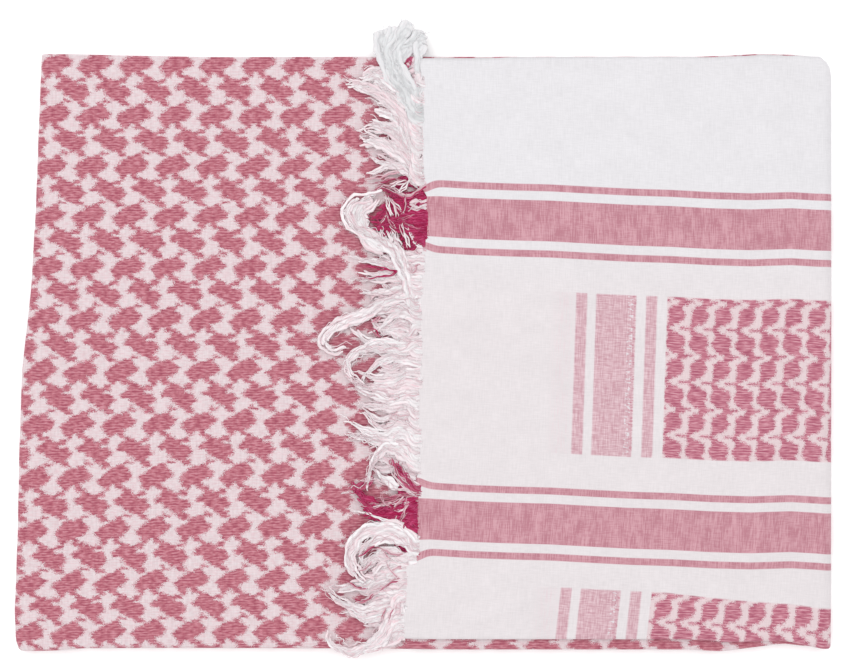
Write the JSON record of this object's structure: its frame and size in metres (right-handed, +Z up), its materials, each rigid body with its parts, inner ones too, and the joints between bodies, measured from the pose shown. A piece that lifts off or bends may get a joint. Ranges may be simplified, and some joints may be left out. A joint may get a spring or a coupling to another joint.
{
  "type": "folded keffiyeh headscarf",
  "caption": "Square cotton headscarf folded flat: a patterned stretch, a banded white end turned over it, and a loose fringe along that end's edge.",
  "frame": {"origin": "centre of the bounding box's bottom face, on the surface that the folded scarf lies on", "axes": "+X along the folded strip, towards the fold of the turned-over end; +Y across it, towards its selvedges and centre fold; +Z up from the surface"},
  "size_m": [0.4093, 0.318, 0.0122],
  "materials": {
    "field_cotton": "matt woven cotton, deep pink figures on white, with the pale streaks of its weft",
    "banded_cotton": "matt woven cotton, off-white with pink bands and blocks",
    "inner_cotton": "matt woven cotton, pink and white layer edges",
    "white_fringe": "soft loose cotton yarn, off-white",
    "crimson_fringe": "soft loose cotton yarn, crimson"
  },
  "bodies": {
    "root": {"field_stretch": "field_cotton", "turned_end": "banded_cotton", "hidden_layers": "inner_cotton", "turned_layers": "inner_cotton", "corner_tuft": "white_fringe", "loose_hook": "white_fringe", "loose_upper_loop": "white_fringe", "loose_lower_loop": "white_fringe", "fringe_low_white_1": "white_fringe", "fringe_low_red_1": "crimson_fringe", "fringe_low_white_2": "white_fringe", "fringe_low_red_2": "crimson_fringe", "fringe_low_white_3": "white_fringe", "fringe_high_white_1": "white_fringe", "fringe_high_red_1": "crimson_fringe", "fringe_high_white_2": "white_fringe", "fringe_high_red_2": "crimson_fringe", "fringe_high_white_3": "white_fringe"}
  },
  "joints": []
}
